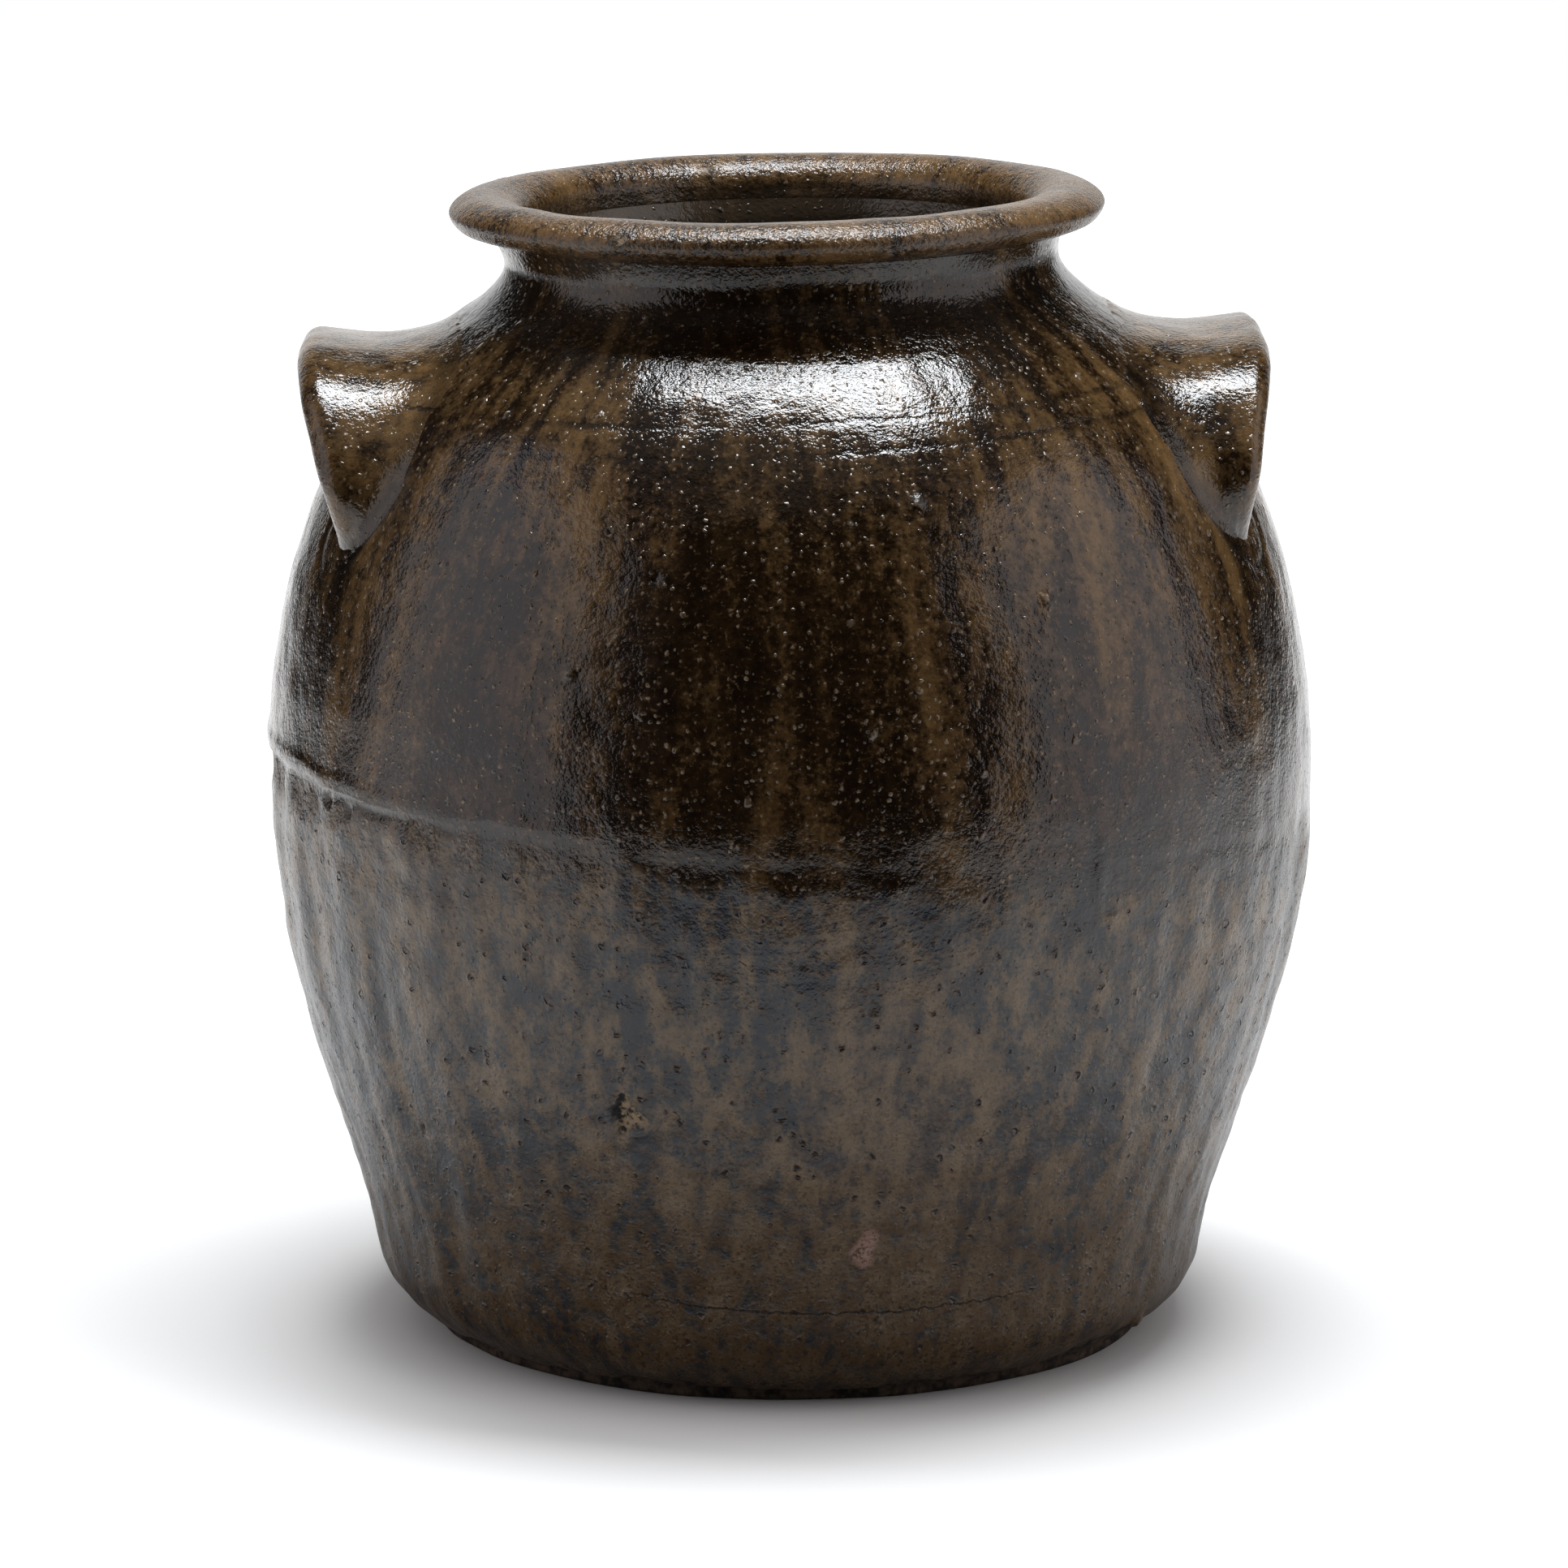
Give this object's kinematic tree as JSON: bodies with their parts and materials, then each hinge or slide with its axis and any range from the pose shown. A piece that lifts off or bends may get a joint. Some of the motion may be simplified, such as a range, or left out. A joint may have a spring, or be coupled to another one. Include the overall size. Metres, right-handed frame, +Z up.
{
  "type": "martaban jar",
  "caption": "Squat glazed stoneware storage jar with a rolled open rim, a short neck, arched lug handles on the shoulder and a flat foot.",
  "frame": {"origin": "centre of the flat foot, on the surface that the jar stands on", "axes": "+Z up through the mouth; the lug handles lie along X, the higher one on +X; -Y is the side that the picture shows"},
  "size_m": [0.2796, 0.2796, 0.3064],
  "materials": {
    "glazed_stoneware": "glossy streaked olive-brown glaze over coarse stoneware",
    "bare_stoneware": "rough unglazed stoneware foot"
  },
  "bodies": {
    "root": {"base_disc": "bare_stoneware", "lower_wall": "glazed_stoneware", "upper_wall": "glazed_stoneware", "neck_collar": "glazed_stoneware", "rolled_rim": "glazed_stoneware", "lug_handle_left": "glazed_stoneware", "lug_handle_right": "glazed_stoneware"}
  },
  "joints": []
}
